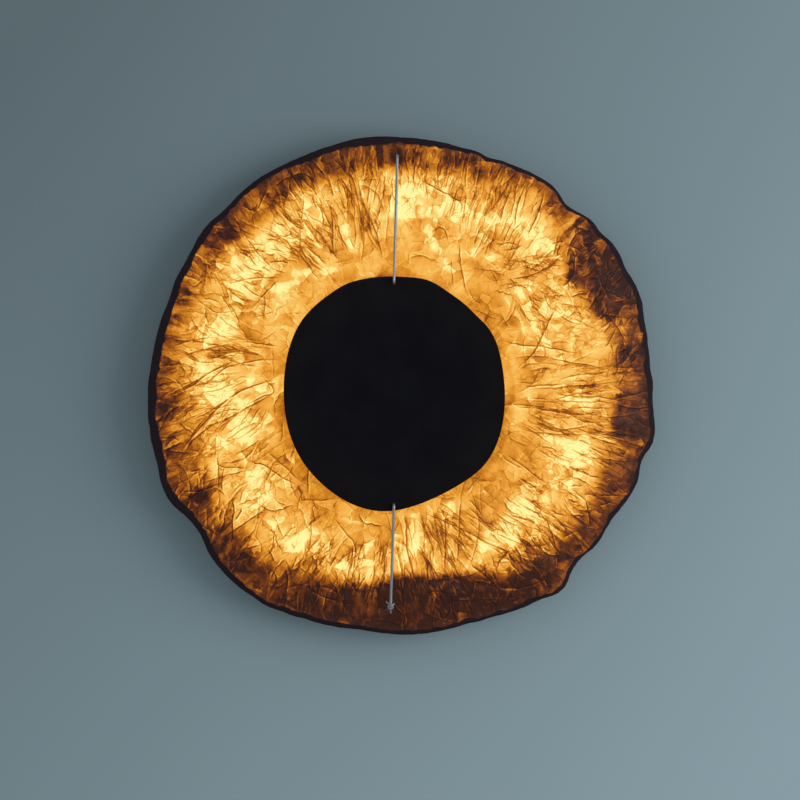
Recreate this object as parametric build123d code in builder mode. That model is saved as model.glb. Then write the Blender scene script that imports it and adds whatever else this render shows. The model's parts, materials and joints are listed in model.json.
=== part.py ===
"""A wall lamp with a crumpled translucent shade, a ring of LED boards in a white pan and a black centre disc.

Units are millimetres. +Z is up, the front faces -Y and the wall is the plane Y = 0. The origin is the
centre of the wall plate's screw circle, on the wall. "Depth" is the distance out from the wall.
"""

import math
import os

from build123d import *

# ---- driving dimensions ----

# The wall plate and the pan that it carries
PLATE_R = 75
PLATE_T = 2
WALL_SCREW_PCD = 100
WALL_SCREW_HOLE_R = 2.75
CABLE_BORE_R = 4.5
GROMMET_R = 10
PAN_R = 182
PAN_T = 1.5
PAN_FLOOR = 14
PAN_EDGE = 46
PAN_CABLE_HOLE_R = 20
STANDOFF_R = 5
STANDOFF_BORE = (2.1, 9)
RIVET = (1.95, 0.3)
STANDOFF_PCD = 132
STANDOFF_ANGLES = (90, 210, 330)
GROMMET_LIP = 1.5
GROMMET_NECK_L = 8
TAP_R = 1.4
CLEAR_R = 1.7

# The LED ring
BOARD_INNER_R = 128
BOARD_OUTER_R = 168
BOARD_T = 1.6
BOARD_ARC = 84
CHIPS_PER_BOARD = 12
CHIP = (5, 5, 0.8)
CHIP_RING_R = 150
BOARD_SCREW_R = 137
BOARD_SCREW_STEPS = (-30, 30)
LINK_RING_R = 160
LINK_R = 0.9
LINK_RISE = 2.6

# The gear under its cover
GEAR_R = 86
GEAR_T = 1.2
GEAR_FRONT = 48
DRIVER = (96, 34, 24)
DRIVER_Z = -50
DRIVER_FOOT_T = 2.5
TERMINAL = (36, 18, 15)
TERMINAL_Z = 44
TERMINAL_WELL = (2.6, 6)
LEAD_R = 1.3
LEAD_SOCKET = 5
GEAR_FLANGE = 11
EARTH_PLACE = (52, 22)
EARTH_STUD = (2, 14)
EARTH_NUT_T = 3.2
EARTH_TAG_T = 1.8

# The magnets that hold the shade on
MAGNET_R = 7
MAGNET_T = 5
MAGNET_GAP = 0.2
SHELF_T = 2
SHELF_W = 15
PAD_T = 1.5

# The shade, whose rim was shaped by hand
SHOULDER_R = 184
SHOULDER_BAND = (183, 185.5)
SHOULDER_DEPTHS = (22, 50)
SKIN_T = 1.6
SKIN_HOLE_R = 86
SKIN_HOLE_CENTRE = (-3, -14)
SKIN_FRONT_R = 104
SKIN_FRONT = 67
RIM_BACK = 12
HOOP_INSET = 5
HOOP_W = 4
HOOP_DEPTHS = (22, 26)
LINER_T = 1
INNER_HOOP = (87.5, 91)
ARM_W = 5
ARM_T = 3
BINDING_INSETS = (2.5, 4.7)
BINDING_FRONT = 18.8
POST_R = 3
# Each station of the skin: its share of the way out to the rim, the radius it starts from, and its depth
OUTER_STATIONS = [
    (0.95, SHOULDER_R, 19), (1, SHOULDER_R, 27), (0.93, SHOULDER_R, 36), (0.6, SHOULDER_R, 47),
    (0.05, SHOULDER_R, 58), (0.03, 150, 64), (0, SKIN_FRONT_R, SKIN_FRONT),
]
INNER_STATIONS = [
    (0.95, SHOULDER_R, 18), (1, SHOULDER_R, 27), (0.93, SHOULDER_R, 35), (0.6, SHOULDER_R, 45.5),
    (0.05, SHOULDER_R, 56.2), (0.03, 150, 62.3), (0, SKIN_FRONT_R, SKIN_FRONT - SKIN_T),
]
RIM_POINTS = [
    (-3, 215), (44, 209), (82, 198), (117, 184), (130, 177.5), (141, 168.5), (150, 154.5), (160, 149), (168, 144.5), (176, 138),
    (181, 128), (187, 124), (195, 115), (201, 106), (205, 95), (213, 80), (219, 61), (225, 21), (228, -11),
    (229, -41), (226, -61), (217, -74), (216, -86), (211, -99), (201, -114), (186, -134), (178, -149),
    (163, -161), (154, -176), (151, -183), (146, -190), (139, -194), (129, -196), (121, -201), (112, -205),
    (82, -214), (43, -225), (20, -229), (-4, -228), (-46, -224), (-82, -216), (-120, -202), (-146, -183),
    (-168, -158), (-174, -146), (-181, -133), (-193, -121), (-202, -113), (-215, -80), (-223, -39), (-223, 2),
    (-217, 36), (-212, 54), (-205, 72), (-199, 87), (-189, 105), (-176, 129), (-166, 141), (-157, 148),
    (-149, 157), (-109, 187), (-75, 202), (-38, 213),
]

# The centre disc and the wires that carry it
DISC_T = 2
DISC_BACK = 76
DISC_HOLE_R = 1.6
WIRE_R = 1.25
WIRE_BENDS = [4, 2.5]
HOOK_GAP = 2
LUG = (9, 10)
LUG_BORE_L = 8
GRUB_R = 1.45
GRUB_L = 2.6
CLAMP_BACK = 53.4
CLAMP_T = 5
CLAMP_R = 2.8
UPPER_HOLE = (-3.5, 84)
LOWER_HOLE = (-3.5, -112)
UPPER_ANCHOR = (-0.5, 197)
LOWER_ANCHOR = (-6.5, -203)
ANCHOR_DEPTH = 63
DISC_POINTS = [
    (-3, 89.7), (12, 88.9), (26, 86.5), (45, 75.5), (58, 66), (69, 55.5), (80, 44), (87.5, 30), (92, 12),
    (94.5, -12), (90, -51), (78, -75), (50, -97), (18, -112), (-14, -118), (-46, -109), (-67, -94), (-85, -73),
    (-98, -41), (-101, -7), (-95, 30), (-85.5, 50), (-72, 65), (-59, 75), (-46, 82.8), (-30, 87.5),
]

# ---- places worked out from them ----

QUARTERS = (45, 135, 225, 315)
GEAR_FLOOR = PAN_FLOOR + PAN_T
BOARD_FRONT = GEAR_FLOOR + BOARD_T
LEAD_DEPTH = GEAR_FLOOR + 5
ARM_FRONT = HOOP_DEPTHS[1] + ARM_T
MAGNET_FRONT = HOOP_DEPTHS[1] - PAD_T - MAGNET_GAP
MAGNET_MIDDLE_R = PAN_R + 11.5
SHELF_MIDDLE_R = PAN_R + 9
SKIN_BACK = SKIN_FRONT - SKIN_T


# ---- helpers ----


def facing(depth):
    """The plane parallel to the wall at a depth, its normal pointing into the room."""
    return Plane.XZ.offset(depth)


def at(x, z, depth):
    """A point given across, up and out from the wall."""
    return (x, -depth, z)


def polar(radius, degrees):
    """A point of the front view, anticlockwise from the right."""
    return (radius * math.cos(math.radians(degrees)), radius * math.sin(math.radians(degrees)))


def shrunk(points, inset):
    """A hand-drawn outline, moved in towards the centre by a distance."""
    return [(x - inset * x / math.hypot(x, z), z - inset * z / math.hypot(x, z)) for x, z in points]


def towards_rim(radius, share, inset=0):
    """An outline between a circle and the rim: 0 is the circle and 1 is the rim."""
    outline = []
    for x, z in shrunk(RIM_POINTS, inset):
        reach = math.hypot(x, z)
        wanted = radius + (reach - radius) * share
        outline.append((x * wanted / reach, z * wanted / reach))
    return outline


def outline_face(points):
    """A closed smooth outline through points, filled."""
    with BuildSketch() as face:
        with BuildLine():
            Spline(*points, periodic=True)
        make_face()
    return face.sketch


def outline_band(name_label, outer, inner, near, far):
    """A flat band between two outlines, from one depth to another."""
    with BuildPart() as band:
        with BuildSketch(facing(near)):
            add(outline_face(outer))
            add(outline_face(inner), mode=Mode.SUBTRACT)
        extrude(amount=far - near)
    band.part.label = name_label
    return band.part


def ring(name_label, inner_r, outer_r, near, far, centre=(0, 0)):
    """A round band from one depth to another."""
    with BuildPart() as band:
        with BuildSketch(facing(near)):
            with Locations(centre):
                Circle(outer_r)
                Circle(inner_r, mode=Mode.SUBTRACT)
        extrude(amount=far - near)
    band.part.label = name_label
    return band.part


def screws(name_label, places, near, head, shank, way=1):
    """Cross-head screws at places of the front view; way is 1 for heads that face the room, -1 for the wall.

    The head and the shank are each (radius, length), and the depth is that of the head's underside.
    """
    head_r, head_h = head
    shank_r, shank_l = shank
    with BuildPart() as group:
        with BuildSketch(facing(near)):
            with Locations(*places):
                Circle(head_r)
        extrude(amount=head_h * way)
        with BuildSketch(facing(near)):
            with Locations(*places):
                Circle(shank_r)
        extrude(amount=-shank_l * way)
        with BuildSketch(facing(near + head_h * way)):
            with Locations(*places):
                Rectangle(head_r * 1.2, head_r * 0.25)
                Rectangle(head_r * 0.25, head_r * 1.2)
        extrude(amount=-head_h / 3 * way, mode=Mode.SUBTRACT)
    group.part.label = name_label
    return group.part


def rod(name_label, routes, radius, bends):
    """Round wire along routes of straight runs joined by arcs, with one bend radius for each corner."""
    with BuildPart() as wire:
        for route in routes:
            with BuildLine() as path:
                FilletPolyline(*route, radius=bends)
            with BuildSketch(Plane(path.line @ 0, z_dir=path.line % 0)):
                Circle(radius)
            sweep(path=path.line)
    wire.part.label = name_label
    return wire.part


def save(part):
    """Writes one node under its label."""
    export_step(part, f"parts/{part.label}.step")


STANDOFF_PLACES = [polar(STANDOFF_PCD / 2, a) for a in STANDOFF_ANGLES]
BOARD_SCREW_PLACES = [polar(BOARD_SCREW_R, a + s) for a in QUARTERS for s in BOARD_SCREW_STEPS]
COVER_SCREW_PLACES = [polar(GEAR_R + GEAR_FLANGE / 2, a) for a in (30, 150, 270)]
DRIVER_SCREW_PLACES = [(s * (DRIVER[0] / 2 + 4), DRIVER_Z) for s in (-1, 1)]
MAGNET_PLACES = [polar(MAGNET_MIDDLE_R, a) for a in QUARTERS]
LINER_POST_PLACES = [polar(SHOULDER_R + 11, a) for a in (0, 90, 180, 270)]
POLE_PLACES = [(s * TERMINAL[0] / 3, TERMINAL_Z) for s in (-1, 0, 1)]


# ---- the wall plate and its fittings ----


def make_wall_plate():
    with BuildPart() as wall_plate:
        with BuildSketch(facing(0)):
            Circle(PLATE_R)
            Circle(GROMMET_R - 2, mode=Mode.SUBTRACT)
            with PolarLocations(WALL_SCREW_PCD / 2, 4, start_angle=45):
                Circle(WALL_SCREW_HOLE_R, mode=Mode.SUBTRACT)
            with Locations(*STANDOFF_PLACES):
                Circle(RIVET[0] + 0.05, mode=Mode.SUBTRACT)
        extrude(amount=PLATE_T)
        chamfer(wall_plate.edges().filter_by(GeomType.CIRCLE).sort_by(SortBy.RADIUS)[-1], 0.5)
    wall_plate.part.label = "wall_plate"
    return wall_plate.part


def make_cable_grommet():
    """A rubber collar with a groove that grips the plate's hole."""
    neck = GROMMET_R - 2
    with BuildPart() as cable_grommet:
        with BuildSketch(Plane.XY):
            with BuildLine():
                Polyline(
                    (CABLE_BORE_R, 0), (neck, 0), (neck, -PLATE_T), (GROMMET_R, -PLATE_T),
                    (GROMMET_R, -PLATE_T - GROMMET_LIP),
                    (CABLE_BORE_R + GROMMET_LIP, -PLATE_T - GROMMET_NECK_L),
                    (CABLE_BORE_R, -PLATE_T - GROMMET_NECK_L), close=True,
                )
            make_face()
        revolve(axis=Axis.Y)
    cable_grommet.part.label = "cable_grommet"
    return cable_grommet.part


def make_standoffs():
    """Threaded spacers, each with a stub riveted into the plate."""
    with BuildPart() as standoffs:
        with BuildSketch(facing(PLATE_T)):
            with Locations(*STANDOFF_PLACES):
                Circle(STANDOFF_R)
        extrude(amount=PAN_FLOOR - PLATE_T)
        with BuildSketch(facing(RIVET[1])):
            with Locations(*STANDOFF_PLACES):
                Circle(RIVET[0])
        extrude(amount=PLATE_T)
        with BuildSketch(facing(PAN_FLOOR)):
            with Locations(*STANDOFF_PLACES):
                Circle(STANDOFF_BORE[0])
        extrude(amount=-STANDOFF_BORE[1], mode=Mode.SUBTRACT)
    standoffs.part.label = "standoffs"
    return standoffs.part


def make_back_pan():
    """The pan's flat floor, drilled for everything that is screwed to it."""
    with BuildPart() as back_pan:
        with BuildSketch(facing(PAN_FLOOR)):
            Circle(PAN_R)
            Circle(PAN_CABLE_HOLE_R, mode=Mode.SUBTRACT)
            with Locations(*STANDOFF_PLACES):
                Circle(STANDOFF_BORE[0], mode=Mode.SUBTRACT)
            with Locations(*BOARD_SCREW_PLACES, *COVER_SCREW_PLACES, *DRIVER_SCREW_PLACES):
                Circle(TAP_R, mode=Mode.SUBTRACT)
        extrude(amount=PAN_T)
    back_pan.part.label = "back_pan"
    return back_pan.part


def make_pan_wall():
    """The rolled strip that is welded round the floor, with its front edge softened."""
    with BuildPart() as pan_wall:
        add(ring("band", PAN_R - PAN_T, PAN_R, GEAR_FLOOR, PAN_EDGE))
        chamfer(pan_wall.faces().sort_by(Axis.Y)[0].edges(), PAN_T / 4)
    pan_wall.part.label = "pan_wall"
    return pan_wall.part


# ---- the LED ring ----


def make_led_board(number, middle):
    """One quarter of the board ring, between two arcs."""
    start, end = middle - BOARD_ARC / 2, middle + BOARD_ARC / 2
    with BuildPart() as board:
        with BuildSketch(facing(GEAR_FLOOR)):
            with BuildLine():
                outer = CenterArc((0, 0), BOARD_OUTER_R, start, BOARD_ARC)
                inner = CenterArc((0, 0), BOARD_INNER_R, start, BOARD_ARC)
                Line(inner @ 0, outer @ 0)
                Line(inner @ 1, outer @ 1)
            make_face()
            with Locations(*[polar(BOARD_SCREW_R, middle + s) for s in BOARD_SCREW_STEPS]):
                Circle(CLEAR_R, mode=Mode.SUBTRACT)
        extrude(amount=BOARD_T)
    board.part.label = f"led_board_{number}"
    return board.part


def make_led_chips(number, middle):
    """The LED packages of one board, in one row."""
    step = BOARD_ARC / CHIPS_PER_BOARD
    with BuildPart() as chips:
        with BuildSketch(facing(BOARD_FRONT)):
            with PolarLocations(CHIP_RING_R, CHIPS_PER_BOARD, middle - (BOARD_ARC - step) / 2,
                                BOARD_ARC - step, endpoint=True):
                Rectangle(CHIP[0], CHIP[1])
        extrude(amount=CHIP[2])
    chips.part.label = f"led_chips_{number}"
    return chips.part


def make_link_leads():
    """Short leads that bridge the gaps between the boards."""
    routes = []
    for middle in (90, 180, 270):
        low, high = polar(LINK_RING_R, middle - 5), polar(LINK_RING_R, middle + 5)
        routes.append([
            at(*low, BOARD_FRONT), at(*low, BOARD_FRONT + LINK_RISE),
            at(*high, BOARD_FRONT + LINK_RISE), at(*high, BOARD_FRONT),
        ])
    return rod("link_leads", routes, LINK_R, [LINK_RISE - LINK_R] * 2)


# ---- the gear under its cover ----


def make_driver():
    with BuildPart() as driver:
        with BuildSketch(facing(GEAR_FLOOR)):
            with Locations((0, DRIVER_Z)):
                Rectangle(DRIVER[0], DRIVER[1])
        extrude(amount=DRIVER[2])
        fillet(driver.edges().filter_by(Axis.Y), 3)
        fillet(driver.faces().sort_by(Axis.Y)[0].edges(), 1.5)
        with BuildSketch(facing(GEAR_FLOOR)):
            with Locations((0, DRIVER_Z)):
                SlotOverall(DRIVER[0] + 16, 12)
            with Locations(*DRIVER_SCREW_PLACES):
                Circle(CLEAR_R, mode=Mode.SUBTRACT)
        extrude(amount=DRIVER_FOOT_T)
    driver.part.label = "driver"
    return driver.part


def make_terminal_block():
    """A three-pole block: a wire hole from below into each pole, and a screw well on its front."""
    with BuildPart() as terminal_block:
        with BuildSketch(facing(GEAR_FLOOR)):
            with Locations((0, TERMINAL_Z)):
                Rectangle(TERMINAL[0], TERMINAL[1])
        extrude(amount=TERMINAL[2])
        with BuildSketch(facing(GEAR_FLOOR + TERMINAL[2])):
            with Locations(*POLE_PLACES):
                Circle(TERMINAL_WELL[0])
        extrude(amount=-TERMINAL_WELL[1], mode=Mode.SUBTRACT)
        with BuildSketch(Plane.XY.offset(TERMINAL_Z - TERMINAL[1] / 2)):
            with Locations(*[(x, -LEAD_DEPTH) for x, _ in POLE_PLACES]):
                Circle(LEAD_R + 0.4)
        extrude(amount=LEAD_SOCKET, mode=Mode.SUBTRACT)
        chamfer(terminal_block.faces().sort_by(Axis.Y)[0].outer_wire().edges(), 0.8)
    terminal_block.part.label = "terminal_block"
    return terminal_block.part


def make_terminal_screws():
    """Slotted screws at the bottom of the wells."""
    bottom = GEAR_FLOOR + TERMINAL[2] - TERMINAL_WELL[1]
    height = TERMINAL_WELL[1] / 2
    with BuildPart() as terminal_screws:
        with BuildSketch(facing(bottom)):
            with Locations(*POLE_PLACES):
                Circle(TERMINAL_WELL[0] - 0.3)
        extrude(amount=height)
        with BuildSketch(facing(bottom + height)):
            with Locations(*POLE_PLACES):
                Rectangle(4, 0.7)
        extrude(amount=-1, mode=Mode.SUBTRACT)
    terminal_screws.part.label = "terminal_screws"
    return terminal_screws.part


def make_earth_stud():
    with BuildPart() as earth_stud:
        with BuildSketch(facing(GEAR_FLOOR)):
            with Locations(EARTH_PLACE):
                Circle(EARTH_STUD[0])
        extrude(amount=EARTH_STUD[1])
        with BuildSketch(facing(GEAR_FLOOR)):
            with Locations(EARTH_PLACE):
                Circle(4.5)
        extrude(amount=1)
        chamfer(earth_stud.faces().sort_by(Axis.Y)[0].edges(), 0.5)
    earth_stud.part.label = "earth_stud"
    return earth_stud.part


def make_earth_nuts():
    with BuildPart() as earth_nuts:
        for depth in (GEAR_FLOOR + 1, GEAR_FLOOR + EARTH_NUT_T + 3):
            with BuildSketch(facing(depth)):
                with Locations(EARTH_PLACE):
                    RegularPolygon(4, 6)
                    Circle(EARTH_STUD[0] + 0.05, mode=Mode.SUBTRACT)
            extrude(amount=EARTH_NUT_T)
    earth_nuts.part.label = "earth_nuts"
    return earth_nuts.part


def make_driver_leads():
    """Line and neutral, from two of the block's lower holes down to the driver's top side."""
    top = TERMINAL_Z - TERMINAL[1] / 2 + LEAD_SOCKET - 1
    bottom = DRIVER_Z + DRIVER[1] / 2
    routes = []
    for x in (-TERMINAL[0] / 3, 0):
        routes.append([
            at(x, top, LEAD_DEPTH), at(x, top - 17, LEAD_DEPTH), at(x - 18, top - 34, LEAD_DEPTH),
            at(x - 18, bottom + 0.3, LEAD_DEPTH),
        ])
    return rod("driver_leads", routes, LEAD_R, [15, 15])


def make_earth_lead():
    """From the block's last hole across to a ring tag between the stud's nuts."""
    top = TERMINAL_Z - TERMINAL[1] / 2 + LEAD_SOCKET - 1
    pole = TERMINAL[0] / 3
    x, z = EARTH_PLACE
    tag = GEAR_FLOOR + EARTH_NUT_T + 1.1
    with BuildPart() as earth_lead:
        with BuildSketch(facing(tag)):
            with Locations(EARTH_PLACE):
                Circle(4)
                Circle(2.15, mode=Mode.SUBTRACT)
            with Locations((x - 7, z)):
                Rectangle(7, 3.4)
        extrude(amount=EARTH_TAG_T)
        with BuildLine() as path:
            FilletPolyline(
                at(pole, top, LEAD_DEPTH), at(pole, z + 4, LEAD_DEPTH), at(pole + 14, z - 4, LEAD_DEPTH),
                at(x - 6, z, LEAD_DEPTH), radius=[8, 12],
            )
        with BuildSketch(Plane(path.line @ 0, z_dir=path.line % 0)):
            Circle(LEAD_R)
        sweep(path=path.line)
    earth_lead.part.label = "earth_lead"
    return earth_lead.part


def make_gear_cover():
    """A shallow cup over the gear, with a foot flange for its screws."""
    with BuildPart() as gear_cover:
        with BuildSketch(Plane.XY):
            with BuildLine() as profile:
                Polyline(
                    (GEAR_R + GEAR_FLANGE, -GEAR_FLOOR), (GEAR_R + GEAR_FLANGE, -GEAR_FLOOR - GEAR_T),
                    (GEAR_R, -GEAR_FLOOR - GEAR_T), (GEAR_R, -GEAR_FRONT), (0, -GEAR_FRONT),
                    (0, -GEAR_FRONT + GEAR_T), (GEAR_R - GEAR_T, -GEAR_FRONT + GEAR_T),
                    (GEAR_R - GEAR_T, -GEAR_FLOOR), close=True,
                )
            make_face()
        revolve(axis=Axis.Y)
        fillet(gear_cover.edges().filter_by(GeomType.CIRCLE).group_by(Axis.Y)[0], 3)
        with BuildSketch(facing(GEAR_FLOOR)):
            with Locations(*COVER_SCREW_PLACES):
                Circle(CLEAR_R)
        extrude(amount=GEAR_T, mode=Mode.SUBTRACT)
    gear_cover.part.label = "gear_cover"
    return gear_cover.part


# ---- the magnets that hold the shade on ----


def make_magnet_brackets():
    """Angles riveted to the pan's wall, each with a shelf behind its magnet."""
    with BuildPart() as magnet_brackets:
        with BuildSketch(facing(MAGNET_FRONT - MAGNET_T - SHELF_T)):
            with PolarLocations(SHELF_MIDDLE_R, 4, start_angle=45):
                Rectangle(20, SHELF_W)
            Circle(PAN_R, mode=Mode.SUBTRACT)
            with Locations(*MAGNET_PLACES):
                Circle(CLEAR_R, mode=Mode.SUBTRACT)
        extrude(amount=SHELF_T)
    magnet_brackets.part.label = "magnet_brackets"
    return magnet_brackets.part


def make_magnets():
    """Pot magnets with a countersunk middle."""
    with BuildPart() as magnets:
        with BuildSketch(facing(MAGNET_FRONT - MAGNET_T)):
            with Locations(*MAGNET_PLACES):
                Circle(MAGNET_R)
                Circle(CLEAR_R, mode=Mode.SUBTRACT)
        extrude(amount=MAGNET_T)
        with BuildSketch(facing(MAGNET_FRONT)):
            with Locations(*MAGNET_PLACES):
                Circle(2 * CLEAR_R)
        extrude(amount=-2.4, mode=Mode.SUBTRACT)
    magnets.part.label = "magnets"
    return magnets.part


def make_strike_pads():
    """Steel pads on the shade that the magnets hold, each under a frame arm's root."""
    with BuildPart() as strike_pads:
        with BuildSketch(facing(HOOP_DEPTHS[1])):
            with Locations(*MAGNET_PLACES):
                Circle(MAGNET_R)
            Circle(SHOULDER_BAND[1], mode=Mode.SUBTRACT)
        extrude(amount=-PAD_T)
    strike_pads.part.label = "strike_pads"
    return strike_pads.part


# ---- the shade ----


def skin_solid(inset, stations):
    """The shade's outer or inner form: outlines from the rim's back edge forward to the front ring."""
    with BuildPart() as form:
        for share, radius, depth in stations:
            with BuildSketch(facing(depth)):
                add(outline_face(towards_rim(radius, share, inset)))
        loft(ruled=True)
    return form.part


def make_shade_skin():
    """A thin shell: it rises from the hem over the rim, rounds a shoulder and runs in to the centre hole."""
    with BuildPart() as shade_skin:
        add(skin_solid(0, OUTER_STATIONS))
        add(skin_solid(SKIN_T, INNER_STATIONS), mode=Mode.SUBTRACT)
        with BuildSketch(facing(HOOP_DEPTHS[1])):
            with Locations(SKIN_HOLE_CENTRE):
                Circle(SKIN_HOLE_R)
            with Locations(UPPER_ANCHOR, LOWER_ANCHOR):
                Circle(WIRE_R + 1.5)
        extrude(amount=SKIN_FRONT, mode=Mode.SUBTRACT)
    shade_skin.part.label = "shade_skin"
    return shade_skin.part


def make_frame_arm(number, degrees):
    """A flat bar from the shoulder band out to the rim hoop."""
    with BuildPart() as arm:
        with BuildSketch(facing(HOOP_DEPTHS[1])):
            add(outline_face(shrunk(RIM_POINTS, HOOP_INSET)))
            with Locations(Location((*polar(SHOULDER_BAND[1] + 40, degrees), 0), (0, 0, degrees))):
                Rectangle(80, ARM_W, mode=Mode.INTERSECT)
        extrude(amount=ARM_T)
    arm.part.label = f"frame_arm_{number}"
    return arm.part


def make_back_liner():
    """The closing panel behind the shade's outer zone, notched round the magnet brackets."""
    with BuildPart() as back_liner:
        with BuildSketch(facing(RIM_BACK)):
            add(outline_face(shrunk(RIM_POINTS, HOOP_INSET)))
            Circle(SHOULDER_BAND[1], mode=Mode.SUBTRACT)
            with PolarLocations(SHELF_MIDDLE_R, 4, start_angle=45):
                Rectangle(24, SHELF_W + 3, mode=Mode.SUBTRACT)
            with Locations(*LINER_POST_PLACES):
                Circle(CLEAR_R, mode=Mode.SUBTRACT)
        extrude(amount=LINER_T)
    back_liner.part.label = "back_liner"
    return back_liner.part


def make_liner_posts():
    """Threaded posts on four of the arms, which the liner is screwed to from behind."""
    with BuildPart() as liner_posts:
        with BuildSketch(facing(RIM_BACK + LINER_T)):
            with Locations(*LINER_POST_PLACES):
                Circle(POST_R)
                Circle(TAP_R, mode=Mode.SUBTRACT)
        extrude(amount=HOOP_DEPTHS[1] - RIM_BACK - LINER_T)
    liner_posts.part.label = "liner_posts"
    return liner_posts.part


def make_anchor(name_label, place):
    """A drilled lug on an arm, which grips a wire's back leg under a grub screw."""
    x, z = place
    width, height = LUG
    with BuildPart() as anchor:
        with BuildSketch(facing(ARM_FRONT)):
            with Locations(place):
                RectangleRounded(width, width, 1)
        extrude(amount=height)
        with BuildSketch(facing(ARM_FRONT + height)):
            with Locations(place):
                Circle(WIRE_R + 0.05)
        extrude(amount=-LUG_BORE_L, mode=Mode.SUBTRACT)
        with BuildSketch(Plane.YZ.offset(x + width / 2)):
            with Locations((-ARM_FRONT - height / 2, z)):
                Circle(GRUB_R + 0.05)
        extrude(amount=WIRE_R + 0.35 - width / 2, mode=Mode.SUBTRACT)
    anchor.part.label = name_label
    return anchor.part


def make_anchor_screws():
    """Grub screws that hold the wires in their lugs."""
    with BuildPart() as anchor_screws:
        for x, z in (UPPER_ANCHOR, LOWER_ANCHOR):
            start = x + WIRE_R + 0.5
            with BuildSketch(Plane.YZ.offset(start)):
                with Locations((-ARM_FRONT - LUG[1] / 2, z)):
                    Circle(GRUB_R)
            extrude(amount=GRUB_L)
            with BuildSketch(Plane.YZ.offset(start + GRUB_L)):
                with Locations((-ARM_FRONT - LUG[1] / 2, z)):
                    RegularPolygon(GRUB_R / 2, 6)
            extrude(amount=-1, mode=Mode.SUBTRACT)
    anchor_screws.part.label = "anchor_screws"
    return anchor_screws.part


def wire_route(anchor, hole):
    """From a lug behind the skin, out, along to the disc, and back through the disc's hole."""
    front = DISC_BACK + DISC_T + HOOK_GAP + WIRE_R
    return [
        at(*anchor, ARM_FRONT + LUG[1] - LUG_BORE_L + 0.2), at(*anchor, ANCHOR_DEPTH), at(*hole, front),
        at(*hole, DISC_BACK - 3),
    ]


def make_lower_clamp():
    """A short sleeve outside the skin, crimped onto the lower wire near its anchor."""
    with BuildPart() as lower_clamp:
        with BuildSketch(facing(CLAMP_BACK)):
            with Locations(LOWER_ANCHOR):
                Circle(CLAMP_R)
                Circle(WIRE_R + 0.05, mode=Mode.SUBTRACT)
        extrude(amount=CLAMP_T)
        chamfer(lower_clamp.faces().sort_by(Axis.Y)[0].outer_wire().edges(), 0.4)
    lower_clamp.part.label = "lower_clamp"
    return lower_clamp.part


def make_centre_disc():
    """A black steel plate cut by hand, with a hole for each wire's hook."""
    with BuildPart() as centre_disc:
        with BuildSketch(facing(DISC_BACK)):
            add(outline_face(DISC_POINTS))
            with Locations(UPPER_HOLE, LOWER_HOLE):
                Circle(DISC_HOLE_R, mode=Mode.SUBTRACT)
        extrude(amount=DISC_T)
        chamfer(centre_disc.faces().sort_by(Axis.Y)[0].outer_wire().edges(), 0.3)
    centre_disc.part.label = "centre_disc"
    return centre_disc.part


# ---- build and save ----

os.makedirs("parts", exist_ok=True)

base_parts = [
    make_wall_plate(),
    make_cable_grommet(),
    make_standoffs(),
    screws("pan_screws", STANDOFF_PLACES, GEAR_FLOOR, (3.8, 2.4), (1.95, 9)),
    make_back_pan(),
    make_pan_wall(),
    screws("board_screws", BOARD_SCREW_PLACES, BOARD_FRONT, (2.8, 1.8), (1.25, 3.6)),
    make_link_leads(),
    make_driver(),
    screws("driver_screws", DRIVER_SCREW_PLACES, GEAR_FLOOR + DRIVER_FOOT_T, (2.8, 1.8), (1.25, 4.5)),
    make_terminal_block(),
    make_terminal_screws(),
    make_earth_stud(),
    make_earth_nuts(),
    make_driver_leads(),
    make_earth_lead(),
    make_gear_cover(),
    screws("cover_screws", COVER_SCREW_PLACES, GEAR_FLOOR + GEAR_T, (2.8, 1.8), (1.25, 3.2)),
    make_magnet_brackets(),
    make_magnets(),
    screws("magnet_screws", MAGNET_PLACES, MAGNET_FRONT - 2.3, (2.9, 1.2), (1.5, 6)),
]
for index, quarter in enumerate(QUARTERS, start=1):
    base_parts.append(make_led_board(index, quarter))
    base_parts.append(make_led_chips(index, quarter))

shade_parts = [
    outline_band(
        "rim_hoop", shrunk(RIM_POINTS, HOOP_INSET), shrunk(RIM_POINTS, HOOP_INSET + HOOP_W), *HOOP_DEPTHS
    ),
    outline_band(
        "rim_binding", *[shrunk(RIM_POINTS, inset) for inset in BINDING_INSETS], RIM_BACK, BINDING_FRONT
    ),
    make_back_liner(),
    make_liner_posts(),
    screws("liner_screws", LINER_POST_PLACES, RIM_BACK, (3, 1.6), (1.25, 7), way=-1),
    ring("shoulder_hoop", *SHOULDER_BAND, *SHOULDER_DEPTHS),
    ring("inner_hoop", *INNER_HOOP, SKIN_BACK - 3.2, SKIN_BACK - 0.2, SKIN_HOLE_CENTRE),
    make_shade_skin(),
    make_strike_pads(),
    make_anchor("upper_anchor", UPPER_ANCHOR),
    make_anchor("lower_anchor", LOWER_ANCHOR),
    make_anchor_screws(),
    make_lower_clamp(),
    rod("upper_wire", [wire_route(UPPER_ANCHOR, UPPER_HOLE)], WIRE_R, WIRE_BENDS),
    rod("lower_wire", [wire_route(LOWER_ANCHOR, LOWER_HOLE)], WIRE_R, WIRE_BENDS),
]
for index in range(8):
    shade_parts.append(make_frame_arm(index + 1, 90 + 45 * index))

for piece in base_parts + shade_parts + [make_centre_disc()]:
    save(piece)
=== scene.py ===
"""Looks for the backlit wall lamp: its crumpled, glowing skin, the turned-back hem and every part's finish.

Lengths are metres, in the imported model's frame: +Z up, the front faces -Y and the wall is Y = 0. Tables of
places on the lamp's front are in mm, across and up from the wall plate's middle. "Depth" is the distance out
from the wall. Angles are anticlockwise from the right, seen from the front.
"""

import json
import math

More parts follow.
